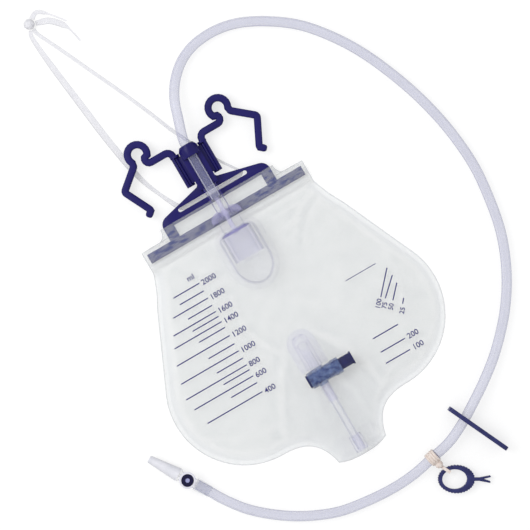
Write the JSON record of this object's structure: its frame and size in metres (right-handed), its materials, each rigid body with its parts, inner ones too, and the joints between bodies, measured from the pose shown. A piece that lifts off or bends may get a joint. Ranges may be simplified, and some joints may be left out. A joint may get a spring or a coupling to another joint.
{
  "type": "urine drainage bag",
  "caption": "Flat film collection bag with bed hooks on a hanger moulding, drip chamber, push-pull drain tap and a long inlet tube with capped catheter connector.",
  "frame": {"origin": "on the underside of the back film, midway between the hooks' tops and the spout's end, on the bag's centre line", "axes": "+Z out of the bag's front, +Y towards the hanger and hooks, +X to the right of the bag seen from its front"},
  "size_m": [0.3927, 0.5737, 0.0236],
  "materials": {
    "film": "translucent vinyl film",
    "navy_plastic": "semi-gloss navy moulding",
    "slate_plastic": "translucent blue moulding",
    "violet_vinyl": "clear violet vinyl",
    "clear_vinyl": "clear vinyl",
    "dark_rubber": "matt rubber",
    "white_plastic": "milky polyethylene",
    "latex": "matt latex",
    "cord": "thin polythene tape"
  },
  "bodies": {
    "bag": {"back_film": "film", "front_film": "film", "tip_pocket": "film", "anti_reflux_valve": "film", "hanger_frame": "navy_plastic", "sheet_clip": "navy_plastic", "tap_body": "slate_plastic", "inlet_socket": "violet_vinyl", "drip_chamber": "violet_vinyl", "outlet_port": "violet_vinyl", "outlet_collar": "violet_vinyl", "outlet_tip": "violet_vinyl", "connector_body": "violet_vinyl", "chamber_dome": "clear_vinyl", "outlet_tube": "clear_vinyl", "inlet_tube": "clear_vinyl", "tube_sleeve": "clear_vinyl", "sample_ring": "clear_vinyl", "sample_septum": "dark_rubber", "rubber_band": "latex", "hanging_cord": "cord", "cord_tail_left": "cord", "cord_tail_right": "cord", "cord_knot": "cord"},
    "left_hook": {"hook_left": "navy_plastic"},
    "right_hook": {"hook_right": "navy_plastic"},
    "plunger": {"tap_plunger": "navy_plastic"},
    "cap": {"connector_cap": "white_plastic"},
    "clamp": {"slide_clamp": "navy_plastic"}
  },
  "joints": [
    {"name": "left_hook_swing", "type": "hinge", "parent": "bag", "child": "left_hook", "pos_m": [-0.0139, 0.128, 0.0074], "axis": [0, 1, 0], "range_deg": [0, 90]},
    {"name": "right_hook_swing", "type": "hinge", "parent": "bag", "child": "right_hook", "pos_m": [0.0139, 0.128, 0.0074], "axis": [0, -1, 0], "range_deg": [0, 90]},
    {"name": "tap_push", "type": "slide", "parent": "bag", "child": "plunger", "axis": [-1, 0, 0], "range_m": [0, 0.011]},
    {"name": "cap_pull", "type": "slide", "parent": "bag", "child": "cap", "axis": [-0.524, 0.8517, 0], "range_m": [0, 0.03]},
    {"name": "clamp_slide", "type": "slide", "parent": "bag", "child": "clamp", "axis": [-0.421, 0.907, 0], "range_m": [0, 0.03], "deforming": ["inlet_tube"]}
  ]
}
